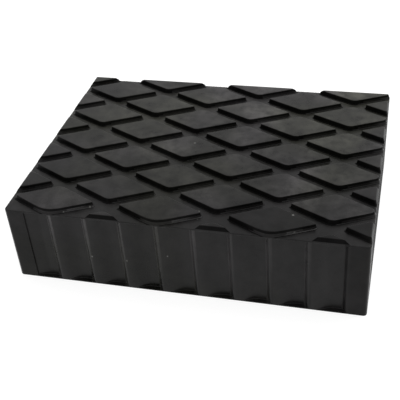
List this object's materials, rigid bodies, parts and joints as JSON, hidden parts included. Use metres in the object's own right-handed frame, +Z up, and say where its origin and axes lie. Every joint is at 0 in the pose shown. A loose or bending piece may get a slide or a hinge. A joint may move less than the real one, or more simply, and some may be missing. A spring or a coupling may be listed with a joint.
{
  "type": "lift arm rubber pad",
  "caption": "Rectangular moulded rubber pad for a vehicle lift arm, with a raised lozenge tread on top, upright flutes in its sides and a flat underside.",
  "frame": {"origin": "centre of the flat underside, which is the bottom centre of the bounding box", "axes": "+X along the long side, +Y across the short side from the front to the back, +Z up through the thickness to the tread"},
  "size_m": [0.16, 0.12, 0.0405],
  "materials": {
    "moulded_rubber": "satin"
  },
  "bodies": {
    "root": {"lift_pad": "moulded_rubber"}
  },
  "joints": []
}
